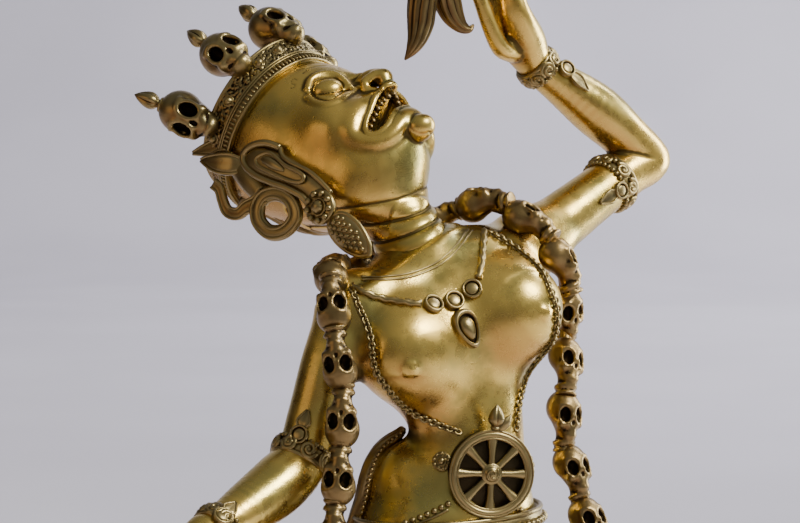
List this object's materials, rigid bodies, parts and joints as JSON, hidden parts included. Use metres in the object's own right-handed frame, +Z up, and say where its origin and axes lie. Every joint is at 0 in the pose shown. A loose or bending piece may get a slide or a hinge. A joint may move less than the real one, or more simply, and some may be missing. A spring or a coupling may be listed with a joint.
{
  "type": "dakini statue",
  "caption": "Cast brass dakini striding on a low lotus base, head thrown back towards the skull cup in her raised left hand, with a skull garland and a curved knife.",
  "frame": {"origin": "middle of the underside of the lotus base, the face the statue stands on", "axes": "+Z up, -Y the way her chest and the front of the base face, +X towards her raised left arm"},
  "size_m": [0.207, 0.1495, 0.3627],
  "materials": {
    "polished_brass": "polished, worn to a soft shine",
    "antiqued_brass": "darkened in its recesses"
  },
  "bodies": {
    "root": {"lotus_base": "polished_brass", "dakini_figure": "polished_brass", "skull_garland": "antiqued_brass", "skull_cup": "antiqued_brass", "curved_knife": "polished_brass"}
  },
  "joints": []
}
